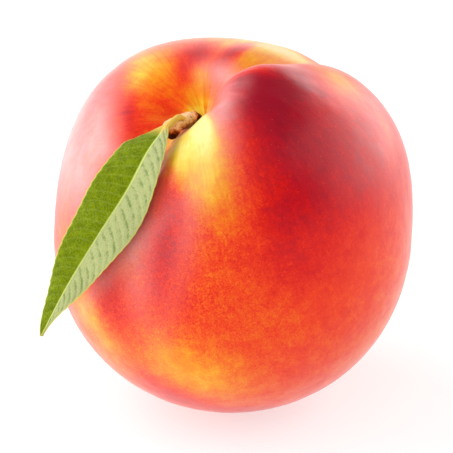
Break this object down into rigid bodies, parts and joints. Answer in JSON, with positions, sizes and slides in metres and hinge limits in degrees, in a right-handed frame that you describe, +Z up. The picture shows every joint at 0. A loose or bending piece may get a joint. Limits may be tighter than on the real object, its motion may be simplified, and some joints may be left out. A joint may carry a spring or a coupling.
{
  "type": "nectarine",
  "caption": "Whole ripe nectarine with a suture crease, a deep stem basin with a short woody stem, and a folded lance-shaped leaf that hangs over one cheek.",
  "frame": {"origin": "centre of the small flat spot that the fruit rests on", "axes": "+Z up, away from the surface; -Y towards the side that the leaf hangs on and the basin leans to; +X to the right seen from that side"},
  "size_m": [0.0733, 0.0722, 0.073],
  "materials": {
    "skin": "satin",
    "bark": "rough",
    "leaf": "satin"
  },
  "bodies": {
    "root": {"fruit": "skin", "stem": "bark", "leaf": "leaf"}
  },
  "joints": []
}
